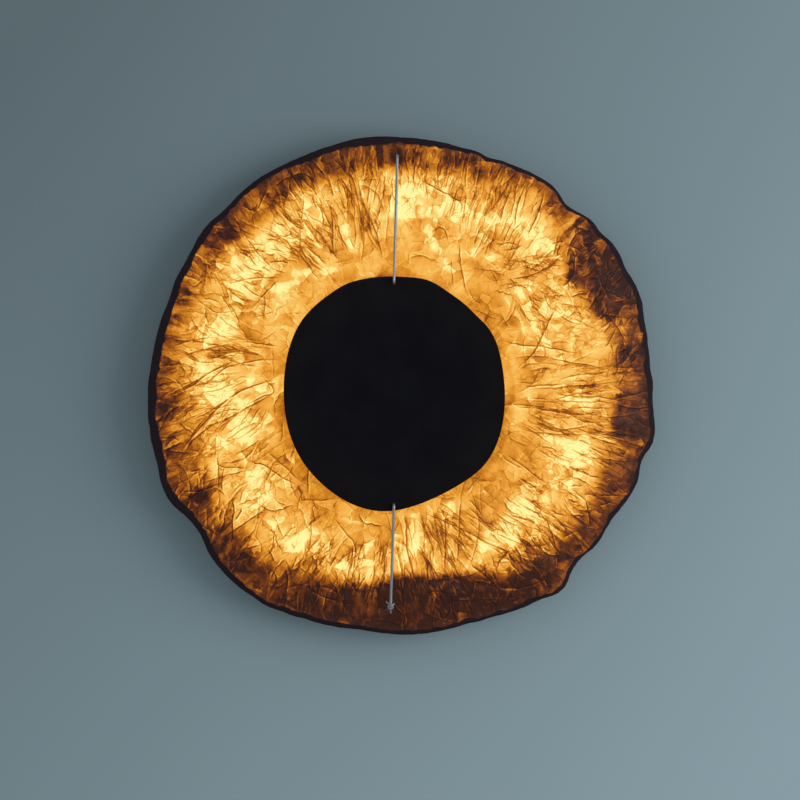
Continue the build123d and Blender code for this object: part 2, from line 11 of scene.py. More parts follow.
import bpy
import numpy as np
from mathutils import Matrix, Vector


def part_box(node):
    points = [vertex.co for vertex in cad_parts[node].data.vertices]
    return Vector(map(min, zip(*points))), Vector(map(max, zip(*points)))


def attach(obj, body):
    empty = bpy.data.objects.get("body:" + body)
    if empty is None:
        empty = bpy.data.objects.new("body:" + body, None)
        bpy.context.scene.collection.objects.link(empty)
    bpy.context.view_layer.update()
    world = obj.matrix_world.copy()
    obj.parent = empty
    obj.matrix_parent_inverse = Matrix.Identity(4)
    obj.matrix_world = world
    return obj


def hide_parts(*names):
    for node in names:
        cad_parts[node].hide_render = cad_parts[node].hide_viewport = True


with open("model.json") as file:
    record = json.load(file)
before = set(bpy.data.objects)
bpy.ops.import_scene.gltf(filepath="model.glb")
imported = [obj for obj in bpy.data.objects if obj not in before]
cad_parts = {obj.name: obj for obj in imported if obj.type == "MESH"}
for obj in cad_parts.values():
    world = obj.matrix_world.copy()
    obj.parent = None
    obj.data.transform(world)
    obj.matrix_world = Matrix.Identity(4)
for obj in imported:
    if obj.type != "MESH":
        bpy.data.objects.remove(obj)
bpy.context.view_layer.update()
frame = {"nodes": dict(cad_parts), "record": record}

MM = 0.001
TURN = 2 * math.pi
rng = np.random.default_rng(11)


# ---- camera, lights and stage ----

VIEW_WIDTH = 714.4 * MM
VIEW_MIDDLE = (1.8 * MM, -19.6 * MM)
CAMERA_Y = -5.0
RIM_DEPTH = 27 * MM
SENSOR = 36
STAGE_HALF = 3.4
STAGE_DEPTH = 6
# The wall stands a little behind the plate, so that their faces don't coincide
WALL_BACK = 0.3 * MM
# Painted light on the wall, paler to the lower right: its share of full tone at the lamp, change per metre,
# limits
WALL_PAINTED_LIGHT = 1.08
WALL_PAINTED_LIGHT_SLOPE = (0.6, 0, -0.62)
WALL_PAINTED_LIGHT_LIMITS = (0.7, 1.5)


def srgb(red, green, blue):
    """A display colour of 0 to 255 per channel as linear light."""
    out = []
    for value in (red, green, blue):
        share = value / 255
        out.append(share / 12.92 if share < 0.04045 else ((share + 0.055) / 1.055) ** 2.4)
    return (*out, 1.0)


def add_object(name, data):
    made = bpy.data.objects.new(name, data)
    bpy.context.scene.collection.objects.link(made)
    return made


def make_camera():
    data = bpy.data.cameras.new("camera")
    data.sensor_width = SENSOR
    data.lens = SENSOR * (-CAMERA_Y - RIM_DEPTH) / VIEW_WIDTH
    camera = add_object("camera", data)
    camera.location = (VIEW_MIDDLE[0], CAMERA_Y, VIEW_MIDDLE[1])
    camera.rotation_euler = (math.pi / 2, 0, 0)
    bpy.context.scene.camera = camera


def area_light(name, place, target, size, power, colour):
    data = bpy.data.lights.new(name, "AREA")
    data.shape = "DISK"
    data.size = size
    data.energy = power
    data.color = colour
    light = add_object(name, data)
    light.location = place
    light.visible_camera = False
    light.rotation_euler = (Vector(target) - Vector(place)).to_track_quat("-Z", "Y").to_euler()


def make_lights():
    area_light("key", (2.6, -1.9, 0.2), (0.1, 0, 0), 2.4, 38, (0.95, 1.0, 1.0))
    area_light("back", (-0.5, 3.0, 0.8), (0, 0, 0), 1.6, 45, (1.0, 1.0, 1.0))
    world = bpy.data.worlds.new("surroundings")
    bpy.context.scene.world = world
    world.use_nodes = True
    background = world.node_tree.nodes["Background"]
    background.inputs["Color"].default_value = (0.84, 0.98, 1.05, 1.0)
    background.inputs["Strength"].default_value = 0.43


def flat_sheet(name, corners):
    mesh = bpy.data.meshes.new(name)
    mesh.from_pydata(corners, [], [(0, 1, 2, 3)])
    sheet = add_object(name, mesh)
    return sheet


# ---- node helpers ----


class Nodes:
    """A material's node tree, with short ways to add and link nodes."""

    def __init__(self, name):
        self.material = bpy.data.materials.new(name)
        self.material.use_nodes = True
        self.tree = self.material.node_tree
        self.shader = self.tree.nodes["Principled BSDF"]

    def add(self, kind, **settings):
        node = self.tree.nodes.new(kind)
        for key, value in settings.items():
            setattr(node, key, value)
        return node

    def feed(self, socket, value):
        """Links an output to a socket, or sets the socket to a number or colour."""
        if isinstance(value, bpy.types.NodeSocket):
            self.tree.links.new(value, socket)
        else:
            socket.default_value = value

    def math(self, operation, first, second=0.0, third=0.0, clamp=False):
        node = self.add("ShaderNodeMath", operation=operation, use_clamp=clamp)
        for socket, value in zip(node.inputs, (first, second, third)):
            self.feed(socket, value)
        return node.outputs[0]

    def vector_math(self, operation, first, second=(0, 0, 0), scale=1.0):
        node = self.add("ShaderNodeVectorMath", operation=operation)
        self.feed(node.inputs[0], first)
        self.feed(node.inputs[1], second)
        if operation == "SCALE":
            self.feed(node.inputs["Scale"], scale)
        return node.outputs["Value" if operation in ("LENGTH", "DOT_PRODUCT") else "Vector"]

    def noise(self, vector, scale, detail=4.0, roughness=0.55, distortion=0.0, colour=False):
        node = self.add("ShaderNodeTexNoise")
        self.feed(node.inputs["Vector"], vector)
        node.inputs["Scale"].default_value = scale
        node.inputs["Detail"].default_value = detail
        node.inputs["Roughness"].default_value = roughness
        node.inputs["Distortion"].default_value = distortion
        return node.outputs["Color" if colour else "Fac"]

    def voronoi(self, vector, scale, feature="DISTANCE_TO_EDGE"):
        node = self.add("ShaderNodeTexVoronoi", feature=feature)
        self.feed(node.inputs["Vector"], vector)
        node.inputs["Scale"].default_value = scale
        return node.outputs["Distance"]

    def step(self, value, low, high, to_low=0.0, to_high=1.0):
        """A smooth step from to_low at low to to_high at high."""
        node = self.add("ShaderNodeMapRange", interpolation_type="SMOOTHSTEP")
        for socket, number in zip(node.inputs[:5], (value, low, high, to_low, to_high)):
            self.feed(socket, number)
        return node.outputs[0]

    def ramp(self, value, stops):
        node = self.add("ShaderNodeValToRGB")
        elements = node.color_ramp.elements
        while len(elements) < len(stops):
            elements.new(0.5)
        for element, (place, colour) in zip(elements, stops):
            element.position = place
            element.color = colour
        self.feed(node.inputs["Fac"], value)
        return node.outputs["Color"]

    def mix(self, share, first, second):
        node = self.add("ShaderNodeMix", data_type="RGBA")
        self.feed(node.inputs["Factor"], share)
        self.feed(node.inputs["A"], first)
        self.feed(node.inputs["B"], second)
        return node.outputs["Result"]

    def bump(self, height, strength, distance):
        node = self.add("ShaderNodeBump")
        node.inputs["Strength"].default_value = strength
        node.inputs["Distance"].default_value = distance
        self.feed(node.inputs["Height"], height)
        self.feed(self.shader.inputs["Normal"], node.outputs["Normal"])

    def place(self):
        """The point's own place on the object, in metres."""
        return self.add("ShaderNodeTexCoord").outputs["Object"]

    def attribute(self, name, output="Fac"):
        return self.add("ShaderNodeAttribute", attribute_name=name).outputs[output]

    def set(self, **values):
        """Sets or links the shader's sockets, named with _ for a space."""
        for key, value in values.items():
            self.feed(self.shader.inputs[key.replace("_", " ")], value)


def make_stage():
    """A pale wall seen only from the room's side, with painted light paler towards the lower right, and a
    floor well below.
    """
    side, low, near, far = STAGE_HALF, -STAGE_HALF, -STAGE_DEPTH, STAGE_DEPTH
    y = WALL_BACK
    wall = flat_sheet("wall", [(-side, y, low), (side, y, low), (side, y, side), (-side, y, side)])
    wall.visible_shadow = False
    wall.visible_diffuse = False
    wall.visible_glossy = False
    n = Nodes("wall_paint_with_painted_light")
    paint = n.mix(n.noise(n.place(), 1.3, 3.0), srgb(138, 154, 160), srgb(148, 162, 166))
    # Painted light: the paint is scaled paler towards the lower right, in place of a near lamp's falloff
    tone = n.math("ADD", n.vector_math("DOT_PRODUCT", n.place(), WALL_PAINTED_LIGHT_SLOPE), WALL_PAINTED_LIGHT)
    tone = n.math("MINIMUM", n.math("MAXIMUM", tone, WALL_PAINTED_LIGHT_LIMITS[0]), WALL_PAINTED_LIGHT_LIMITS[1])
    n.set(Base_Color=n.vector_math("SCALE", paint, scale=tone), Roughness=0.9)
    n.bump(n.noise(n.place(), 260, 2.0), 0.08, 0.0004)
    clear = n.add("ShaderNodeBsdfTransparent")
    chosen = n.add("ShaderNodeMixShader")
    n.feed(chosen.inputs[0], n.add("ShaderNodeNewGeometry").outputs["Backfacing"])
    n.feed(chosen.inputs[1], n.shader.outputs[0])
    n.feed(chosen.inputs[2], clear.outputs[0])
    n.feed(n.tree.nodes["Material Output"].inputs["Surface"], chosen.outputs[0])
    wall.data.materials.append(n.material)
    floor = flat_sheet("floor", [(-side, near, low), (side, near, low), (side, far, low), (-side, far, low)])
    n = Nodes("floor_paint")
    tone = n.noise(n.place(), 2.0, 3.0)
    n.set(Base_Color=n.mix(tone, srgb(196, 200, 200), srgb(206, 209, 208)), Roughness=0.8)
    floor.data.materials.append(n.material)


# ---- seeded noise for mesh work ----


def lattice(ix, iy, iz, seed):
    """A repeatable random number from 0 to 1 for each lattice point."""
    mixed = (
        ix.astype(np.int64) * 374761393 + iy.astype(np.int64) * 668265263
        + iz.astype(np.int64) * 1442695041 + seed * 1274126177
    ) & 0xFFFFFFFF
    mixed = ((mixed ^ (mixed >> 13)) * 1103515245) & 0xFFFFFFFF
    mixed = ((mixed ^ (mixed >> 15)) * 374761393) & 0xFFFFFFFF
    return ((mixed ^ (mixed >> 16)) & 0xFFFFFF) / 0xFFFFFF


def smooth_noise(x, y, z, seed):
    """Value noise from -1 to 1 with a feature size of one unit."""
    cells = [np.floor(v) for v in (x, y, z)]
    parts = [v - c for v, c in zip((x, y, z), cells)]
    eased = [p * p * (3 - 2 * p) for p in parts]
    total = 0
    for dx in (0, 1):
        for dy in (0, 1):
            for dz in (0, 1):
                weight = 1
                for d, e in zip((dx, dy, dz), eased):
                    weight = weight * (e if d else 1 - e)
                total = total + weight * lattice(cells[0] + dx, cells[1] + dy, cells[2] + dz, seed)
    return 2 * total - 1


def layered(x, z, size, seed, layers=3):
    """Several sizes of noise added up, over the front view."""
    total, share = 0, 1.0
    for layer in range(layers):
        step = size / 2**layer
        total = total + share * smooth_noise(x / step, z / step, 0 * x + 7.3 * layer, seed + layer)
        share *= 0.5
    return total


def around(angle, reach, count, length, seed):
    """Noise that is drawn out along the radius: count features round the circle, each about length long."""
    turn = count / TURN
    return smooth_noise(np.cos(angle) * turn, np.sin(angle) * turn, reach / length, seed)


def ease(value, low, high):
    share = np.clip((value - low) / (high - low), 0, 1)
    return share * share * (3 - 2 * share)


def curve_between(before, here, after, later, part):
    """The smooth curve through four even points, a part of the way from here to after."""
    bend = 2 * before - 5 * here + 4 * after - later + part * (3 * (here - after) + later - before)
    return here + 0.5 * part * (after - before + part * bend)


def by_angle(angle, values):
    """A smooth curve through values that are evenly spaced round the circle, from the right."""
    values = np.array(values, float)
    place = (angle % TURN) / TURN * len(values)
    index = np.floor(place).astype(int)
    part = place - index
    return curve_between(*(values[(index + k) % len(values)] for k in (-1, 0, 1, 2)), part)


# ---- the skin's form ----

AROUND = 900
ACROSS = 108
HOLE_MIDDLE = (-3 * MM, -14 * MM)
# Radii between which the hole's off-centre place fades out
OFF_MIDDLE = (95 * MM, 160 * MM)
SHOULDER = 184
# The usual way from the shoulder to the rim
FLARE = 44
# Each station in mm: a radius, a share of the way from the shoulder to the rim, and the depth
STATIONS = [
    (85, 0, 61.5), (86.5, 0, 64.6), (90, 0, 66.6), (104, 0, 66.8), (128, 0, 65.8), (150, 0, 63.6),
    (170, 0, 60.8), (SHOULDER, 0.04, 57.4), (SHOULDER, 0.34, 52.8), (SHOULDER, 0.62, 47),
    (SHOULDER, 0.85, 40), (SHOULDER, 0.97, 33), (SHOULDER, 1.0, 27), (SHOULDER, 0.985, 21),
    (SHOULDER, 0.95, 15.5), (SHOULDER, 0.90, 12.4), (SHOULDER, 0.80, 11.6),
]
# The number of even directions in which the CAD skin's rim is read, and how near to the rim's depth
RIM_READINGS = 240
RIM_NEAR = 0.3 * MM


def rim_curve():
    """The rim's radius at even angles, read from the CAD skin's widest ring and smoothed a little."""
    data = frame["nodes"]["shade_skin"].data
    points = np.zeros(len(data.vertices) * 3, np.float32)
    data.vertices.foreach_get("co", points)
    points = points.reshape(-1, 3).astype(float)
    ring = points[np.abs(points[:, 1] + RIM_DEPTH) < RIM_NEAR]
    angle = np.arctan2(ring[:, 2], ring[:, 0]) % TURN
    reach = np.hypot(ring[:, 0], ring[:, 2])
    best = np.zeros(RIM_READINGS)
    np.maximum.at(best, (angle / TURN * RIM_READINGS).astype(int) % RIM_READINGS, reach)
    every = np.arange(RIM_READINGS)
    filled = np.flatnonzero(best > 0)
    even = np.interp(every, filled, best[filled], period=RIM_READINGS)
    even = (np.roll(even, 1) + 2 * even + np.roll(even, -1)) / 4
    return np.interp(np.arange(AROUND) / AROUND * RIM_READINGS - 0.5, every, even, period=RIM_READINGS)


def spaced_stations():
    """The stations as a smooth curve with ACROSS points: radius, share and depth."""
    table = np.array(STATIONS, float)
    width = table[:, 0] + table[:, 1] * FLARE
    length = np.concatenate([[0], np.cumsum(np.hypot(np.diff(width), np.diff(table[:, 2])))])
    wanted = np.linspace(0, length[-1], ACROSS)
    columns = []
    for column in table.T:
        slope = np.gradient(column, length)
        index = np.clip(np.searchsorted(length, wanted) - 1, 0, len(length) - 2)
        gap = length[index + 1] - length[index]
        part = (wanted - length[index]) / gap
        a, b = column[index], column[index + 1]
        m, k = slope[index] * gap, slope[index + 1] * gap
        columns.append(
            a * (2 * part**3 - 3 * part**2 + 1) + m * (part**3 - 2 * part**2 + part)
            + b * (3 * part**2 - 2 * part**3) + k * (part**3 - part**2)
        )
    return columns


class Skin:
    """The grid of the skin before it is crumpled: its x and z, depth, angle, and reach from the middle."""

    def __init__(self):
        radius, share, depth = spaced_stations()
        self.angle, _ = np.meshgrid(np.arange(AROUND) / AROUND * TURN, radius)
        shape = self.angle.shape
        self.rim = np.broadcast_to(rim_curve(), shape)
        self.share = np.broadcast_to(share[:, None], shape)
        self.reach = radius[:, None] * MM + self.share * (self.rim - SHOULDER * MM)
        self.depth = np.broadcast_to(depth[:, None] * MM, shape)
        self.x, self.z = self.front_view(self.reach)
        past = np.arange(ACROSS) > np.argmax(self.reach[:, 0])
        self.behind = np.broadcast_to(past[:, None], shape)

    def front_view(self, reach):
        """Places on the front at this reach, about the hole's middle near the hole."""
        off_middle = 1 - ease(self.reach, *OFF_MIDDLE)
        x = reach * np.cos(self.angle) + HOLE_MIDDLE[0] * off_middle
        z = reach * np.sin(self.angle) + HOLE_MIDDLE[1] * off_middle
        return x, z


# ---- creases ----

FOLD_GROUPS = 6
FOLD_REACH = 2.6 * MM
CREASE_HEIGHT = 0.8 * MM
# The slopes' lengths on the two sides of a crease, and how far its shade and its lit side reach
LONG_SLOPE = 4.6 * MM
SHORT_SLOPE = 2.4 * MM
SHADE_REACH = 4.2 * MM
LIT_REACH = 2.4 * MM
# Creases that run far enough to be told apart: strength, then points
LONG_CREASES = [
    (1.0, (14, 180), (30, 170), (48, 161), (57, 152), (50, 139)),
    (0.8, (28, 127), (36, 133), (42, 130), (45, 118)),
    (0.7, (7, 102), (13, 107), (21, 108), (31, 104), (42, 102)),
    (0.8, (54, 124), (55, 108), (57, 92), (62, 70)), (0.6, (47, 108), (48, 90), (49, 78)),
    (0.6, (71, 132), (81, 127), (89, 119)), (0.9, (101, 169), (96, 157), (88, 133)),
    (0.8, (106, 167), (98, 139)), (1.0, (112, 169), (106, 152), (102, 129)),
    (0.7, (116, 178), (112, 156), (105, 142)), (1.0, (130, 169), (127, 153), (118, 133), (114, 121)),
    (1.0, (51, 203), (52, 184)), (1.0, (74, 194), (69, 167), (64, 152)), (0.8, (61, 197), (59, 164)),
    (0.7, (84, 192), (81, 176)), (0.9, (93, 112), (105, 115), (113, 119)),
    (0.8, (127, 104), (136, 112), (149, 119)), (0.9, (96, 87), (115, 90), (129, 96), (146, 107)),
    (0.8, (93, 78), (106, 82), (121, 82)), (0.6, (65, 62), (78, 56), (90, 51)),
    (1.0, (105, 8), (118, 20), (126, 33), (135, 53), (146, 68)),
    (0.9, (87, 35), (105, 30), (126, 28), (144, 25), (167, 20)),
    (0.8, (96, 16), (121, 19), (152, 14), (180, 9), (192, 6)),
    (0.8, (173, 53), (183, 56), (191, 50), (203, 31), (208, 23)),
    (1.0, (192, 12), (200, 14), (206, 23), (214, 33)), (1.0, (152, 118), (157, 105), (154, 84)),
    (1.0, (152, 118), (159, 115), (164, 111)), (1.0, (164, 108), (180, 119)),
    (1.0, (167, 99), (172, 110), (181, 119)), (0.9, (175, 98), (184, 78), (190, 67)),
    (1.0, (190, 67), (209, 69)), (0.8, (189, 79), (203, 93)), (1.0, (181, 57), (198, 54)),
    (1.0, (-96, 2), (-150, -18), (-205, -80)),
    (0.9, (-100, 15), (-120, 16), (-150, 10), (-170, -4), (-196, -10)),
    (0.8, (-104, 27), (-125, 31), (-141, 33)), (0.8, (-141, 30), (-160, 28), (-190, 20), (-204, 17)),
    (1.0, (-140, 17), (-165, 6), (-185, -8), (-205, -16)),
    (0.8, (-162, 41), (-172, 35), (-196, 33), (-208, 38)),
    (0.7, (-141, 60), (-160, 58), (-173, 66), (-184, 76)), (0.9, (-130, 64), (-150, 78), (-158, 90)),
    (0.8, (-102, 89), (-130, 88), (-156, 82)), (0.9, (-104, 88), (-115, 78), (-131, 60)),
    (0.8, (-108, 95), (-124, 110), (-138, 129)), (0.8, (-72, 88), (-86, 118), (-84, 152), (-82, 172)),
    (0.9, (-70, 90), (-90, 112), (-108, 128), (-125, 137)), (0.9, (-58, 107), (-58, 140), (-62, 158)),
    (0.7, (-76, 118), (-70, 138)), (0.8, (-28, 120), (-34, 150), (-40, 176), (-54, 196)),
    (0.9, (-12, 100), (-20, 130), (-32, 158), (-38, 190)), (0.7, (-42, 176), (-52, 190), (-61, 198)),
    (1.0, (-126, 148), (-116, 168)), (1.0, (-126, 148), (-140, 154)),
    (0.9, (-113, 168), (-98, 178), (-84, 182), (-74, 176)), (0.8, (-101, 152), (-97, 168)),
    (0.9, (-62, 172), (-70, 186), (-80, 196)), (0.6, (-96, 66), (-118, 56), (-131, 54)),
    (1.0, (-101, -8), (-128, -24), (-160, -40), (-182, -56), (-200, -82)),
    (0.9, (-121, 0), (-110, -12), (-136, -24)), (0.9, (-138, -72), (-118, -78), (-100, -90), (-84, -96)),
    (0.8, (-118, -64), (-100, -78), (-86, -94)), (0.8, (-130, -80), (-158, -78), (-160, -68)),
    (0.9, (-176, -94), (-150, -86), (-130, -80)), (1.0, (-200, -100), (-176, -100), (-150, -90)),
    (0.9, (-130, -108), (-112, -118), (-100, -115), (-88, -112)),
    (0.9, (-160, -145), (-138, -130), (-120, -118), (-112, -112)),
    (0.8, (-76, -74), (-80, -84), (-79, -106)), (0.7, (-93, -108), (-62, -108), (-52, -104)),
    (0.8, (-60, -120), (-44, -140), (-38, -150), (-42, -190)), (0.7, (-38, -150), (-20, -142)),
    (0.9, (-12, -132), (-30, -128), (-36, -118)), (0.7, (-76, -120), (-78, -148), (-86, -170)),
    (0.9, (-80, -150), (-72, -168), (-68, -176)), (1.0, (-100, -164), (-98, -180), (-102, -198)),
    (1.0, (-116, -150), (-112, -158), (-108, -166)), (1.0, (-84, -186), (-60, -196), (-36, -202)),
    (0.9, (8, -118), (8, -150), (14, -178)), (0.7, (30, -116), (36, -140), (32, -160)),
    (0.9, (42, -112), (42, -150), (42, -178)), (0.9, (56, -100), (54, -140), (52, -172)),
    (0.7, (64, -96), (72, -130), (66, -160), (60, -176)),
    (0.8, (14, -116), (52, -132), (78, -146), (110, -160)), (0.8, (110, -130), (122, -148), (130, -166)),
    (1.0, (130, -120), (138, -142), (142, -156)), (0.9, (92, -108), (100, -118), (110, -122)),
    (0.8, (94, -66), (116, -82), (134, -96)), (0.7, (150, -78), (168, -86)),
    (0.8, (166, -70), (198, -74), (212, -76)), (0.9, (96, -24), (130, -28), (160, -32), (196, -30)),
    (0.8, (110, -28), (134, -40), (146, -46), (180, -40)), (0.8, (132, -22), (160, -14), (196, -10)),
    (0.8, (112, -10), (148, -8), (206, -2)), (0.6, (104, -14), (118, -6), (126, 6)),
    (0.7, (110, -46), (140, -50), (176, -50)), (1.0, (184, -48), (218, -52)),
    (0.9, (166, -50), (200, -62)), (1.0, (166, -104), (170, -124), (172, -134)),
    (0.9, (150, -118), (170, -132)), (1.0, (178, -114), (190, -110)),
    (1.0, (120, -158), (134, -186), (136, -190)), (1.0, (84, -186), (110, -186), (134, -178)),
    (0.9, (56, -180), (78, -182), (98, -192)), (0.8, (44, -190), (46, -206), (40, -216)),
    (0.8, (100, -188), (96, -200)), (0.7, (10, -182), (60, -176), (78, -168), (84, -160)),
]
# Sheaves of shorter creases: angle and half-spread in degrees, radii in mm, number, lengths in mm, lean from
# the radius and its scatter in degrees, and strength
SHEAVES = [
    (112, 15, 118, 196, 96, (14, 42), 4, 13, 0.85), (128, 10, 140, 190, 46, (12, 30), 24, 16, 0.8),
    (97, 7, 130, 206, 42, (16, 40), -8, 10, 0.8), (82, 8, 172, 208, 34, (12, 30), 0, 7, 0.8),
    (66, 9, 160, 212, 44, (18, 44), 5, 6, 0.75), (52, 8, 140, 208, 26, (16, 36), 8, 8, 0.7),
    (38, 12, 120, 176, 40, (10, 28), -52, 14, 0.8), (30, 10, 176, 220, 40, (10, 24), 30, 45, 1.0),
    (20, 10, 128, 176, 34, (10, 26), -66, 16, 0.7), (14, 14, 190, 222, 34, (10, 24), 55, 30, 0.9),
    (-6, 12, 118, 218, 56, (18, 54), 2, 6, 0.75), (-20, 9, 120, 214, 42, (14, 40), -2, 7, 0.8),
    (-34, 10, 176, 220, 30, (10, 26), 10, 22, 0.9), (-48, 10, 150, 208, 46, (16, 38), 14, 12, 0.85),
    (-64, 10, 130, 196, 42, (18, 48), 26, 8, 0.75), (-84, 12, 128, 196, 66, (16, 44), 4, 12, 0.8),
    (-66, 26, 184, 226, 64, (12, 34), 14, 38, 1.0), (-106, 12, 150, 196, 70, (12, 34), -6, 15, 0.85),
    (-118, 16, 186, 226, 46, (12, 32), 12, 28, 0.9), (-132, 12, 130, 186, 44, (10, 32), 26, 26, 0.75),
    (-146, 10, 176, 224, 44, (10, 28), 34, 34, 1.0), (-160, 12, 120, 200, 48, (14, 46), 18, 24, 0.8),
    (-172, 12, 180, 222, 42, (10, 30), 6, 36, 0.9), (176, 12, 130, 204, 48, (14, 50), 2, 12, 0.8),
    (162, 12, 130, 204, 44, (12, 38), -16, 26, 0.7), (146, 10, 150, 218, 46, (10, 28), 8, 22, 0.8),
    (0, 180, 100, 142, 60, (10, 34), 30, 50, 0.55), (0, 180, 96, 200, 110, (6, 18), 0, 70, 0.5),
    (0, 180, 198, 226, 110, (10, 24), 0, 14, 0.7),
]


def sheaf(angle, spread, near, far, count, lengths, lean, scatter, power):
    """Random creases within one patch, most of them along much the same way."""
    made = []
    for _ in range(count):
        turn = math.radians(angle + spread * rng.uniform(-1, 1))
        reach = rng.uniform(near, far)
        way = turn + math.radians(lean + rng.normal(0, scatter))
        half = rng.uniform(*lengths) / 2
        bow = rng.normal(0, 0.14) * half
        x, z = reach * math.cos(turn) - 2, reach * math.sin(turn)
        dx, dz = math.cos(way) * half, math.sin(way) * half
        middle = (x - bow * math.sin(way), z + bow * math.cos(way))
        made.append((power * rng.uniform(0.45, 1.1), (x - dx, z - dz), middle, (x + dx, z + dz)))
    return made


def all_creases():
    made = list(LONG_CREASES)
    for line in SHEAVES:
        made += sheaf(*line)
    return made


WAVER = 0.35 * MM


def smooth_line(points, steps=5):
    """A crease's points joined by a curve, with a little waver, in metres."""
    points = np.array(points, float) * MM
    padded = np.concatenate([[2 * points[0] - points[1]], points, [2 * points[-1] - points[-2]]])
    out = []
    for a, b, c, d in zip(padded, padded[1:], padded[2:], padded[3:]):
        for part in np.arange(steps) / steps:
            out.append(curve_between(a, b, c, d, part))
    out.append(points[-1])
    out = np.array(out)
    out[1:-1] += rng.normal(0, WAVER, (len(out) - 2, 2))
    return out


def measure(line, x, z):
    """The signed distance from each point to the line, and how far along it that is, 0 to 1."""
    lengths = np.hypot(*np.diff(line, axis=0).T)
    starts = np.concatenate([[0], np.cumsum(lengths)])
    gap, along = np.full(len(x), 1.0), np.zeros(len(x))
    for (ax, az), (bx, bz), length, start in zip(line, line[1:], lengths, starts):
        ux, uz = (bx - ax) / length, (bz - az) / length
        run = np.clip((x - ax) * ux + (z - az) * uz, 0, length)
        off_x, off_z = x - ax - run * ux, z - az - run * uz
        reach = np.hypot(off_x, off_z)
        better = reach < np.abs(gap)
        gap = np.where(better, np.where(off_z * ux - off_x * uz < 0, -reach, reach), gap)
        along = np.where(better, (start + run) / starts[-1], along)
    return gap, along


def crumple(skin):
    """Presses every crease into the grid. Returns the height, the soft shade and each group's fold field.

    A fold field holds, at each point, the signed distance to the nearest crease of its group and the
    crease's strength there, so the material can draw it as a line that is finer than the grid.
    """
    shape = skin.x.shape
    height, shade = np.zeros(shape), np.zeros(shape)
    distance = np.full((FOLD_GROUPS, *shape), FOLD_REACH)
    strength = np.zeros((FOLD_GROUPS, *shape))
    closest = np.full((FOLD_GROUPS, *shape), FOLD_REACH)
    front = ~skin.behind
    margin = 3 * SHADE_REACH
    for number, (power, *points) in enumerate(all_creases()):
        line = smooth_line(points)
        side = rng.choice([-1, 1])
        low, high = line.min(axis=0) - margin, line.max(axis=0) + margin
        near = front & (skin.x > low[0]) & (skin.x < high[0]) & (skin.z > low[1]) & (skin.z < high[1])
        rows, columns = np.nonzero(near)
        if not len(rows):
            continue
        gap, along = measure(line, skin.x[rows, columns], skin.z[rows, columns])
        gap = gap * side
        tip = np.minimum(ease(along, 0, 0.25), ease(1 - along, 0, 0.3)) * power
        size = np.abs(gap)
        slope = np.where(gap > 0, LONG_SLOPE, SHORT_SLOPE)
        height[rows, columns] += side * CREASE_HEIGHT * tip * np.exp(-size / slope)
        soft = np.exp(-size / np.where(gap > 0, SHADE_REACH, LIT_REACH))
        shade[rows, columns] += tip * soft * np.where(gap > 0, 1.0, -0.55)
        group = number % FOLD_GROUPS
        better = (size < closest[group, rows, columns]) & (tip > 0.02)
        r, c = rows[better], columns[better]
        closest[group, r, c] = size[better]
        distance[group, r, c] = gap[better]
        strength[group, r, c] = tip[better] * ease(-size[better], -FOLD_REACH, -FOLD_REACH * 0.7)
    return height, shade, distance, strength


# ---- how much light comes through ----

# The glow inside the LED box's outline, from the hole outwards: radii in mm, and the glow there
GLOW_RADII = [84, 104, 122, 142, 160, 174, 186]
GLOW_INSIDE = [0.66, 0.67, 0.70, 0.75, 0.79, 0.79, 0.75]
# Each of the next three lists goes round the circle from the right in 15 degree steps: how deep the painted
# shade on the outer zone is, the radius in mm where it starts, and the width in mm of the rim's unlit band
OUTER_SHADE = [0.60, 0.50, 0.74, 0.36, 0.36, 0.52, 0.60, 0.60, 0.48, 0.60, 0.52, 0.34,
              0.36, 0.46, 0.46, 0.48, 0.52, 0.66, 0.92, 0.86, 0.56, 0.42, 0.50, 0.62]
BOX_EDGE = [190, 187, 174, 195, 193, 184, 186, 186, 186, 183, 188, 192,
            192, 188, 190, 192, 191, 185, 176, 181, 195, 200, 198, 192]
RIM_BAND = [5.5, 5, 4.5, 3.8, 3.5, 4.5, 6.5, 6.5, 5.5, 5, 6.5, 7.5,
            8, 8, 7.5, 5.5, 4.5, 4.5, 4.5, 4, 3.6, 3.6, 3.6, 4.5]
# Bright patches near the lamp chips: place, size in mm, and gain
HOT_SPOTS = [
    (6, 160, 20, 0.30), (62, 150, 15, 0.16), (100, 138, 16, 0.16), (130, 118, 15, 0.2),
    (158, 54, 13, 0.22), (120, 64, 12, 0.14), (-112, 118, 17, 0.26), (-142, 80, 15, 0.24),
    (-150, 48, 14, 0.18), (-168, 8, 15, 0.16), (-156, -24, 18, 0.3), (-136, -46, 12, 0.2),
    (-120, -92, 18, 0.26), (-98, -140, 16, 0.2), (-72, -152, 15, 0.22), (-34, -160, 15, 0.14),
    (12, -148, 16, 0.16), (98, -140, 17, 0.22), (124, -108, 15, 0.24), (146, -78, 14, 0.24),
    (162, -58, 13, 0.2), (160, -22, 14, 0.14), (-70, 150, 14, 0.1), (40, 176, 10, 0.1),
    (-170, 40, 12, 0.16), (-128, -20, 11, 0.14), (-112, -46, 10, 0.16), (-150, -60, 11, 0.14),
]
# Painted shadows, darker patches in the glow: place, size in mm, and loss
SHADOW_PATCHES = [
    (155, 90, 5, 0.6), (163, 106, 6, 0.3), (182, 84, 16, 0.16), (184, 60, 12, 0.12),
    (-173, -106, 9, 0.34), (-152, -142, 7, 0.26), (-140, -160, 8, 0.32), (-205, 10, 8, 0.16),
    (-208, -30, 9, 0.2), (-202, -64, 8, 0.18), (196, -40, 10, 0.16), (-100, 168, 10, 0.12),
    (-140, 122, 10, 0.14), (120, -172, 12, 0.26), (140, -165, 8, 0.2), (-1, 197, 5, 0.6),
    (-6, -208, 9, 0.4), (70, 186, 8, 0.1), (-3.5, 84, 4, 0.8), (-3.5, -112, 4, 0.8),
]
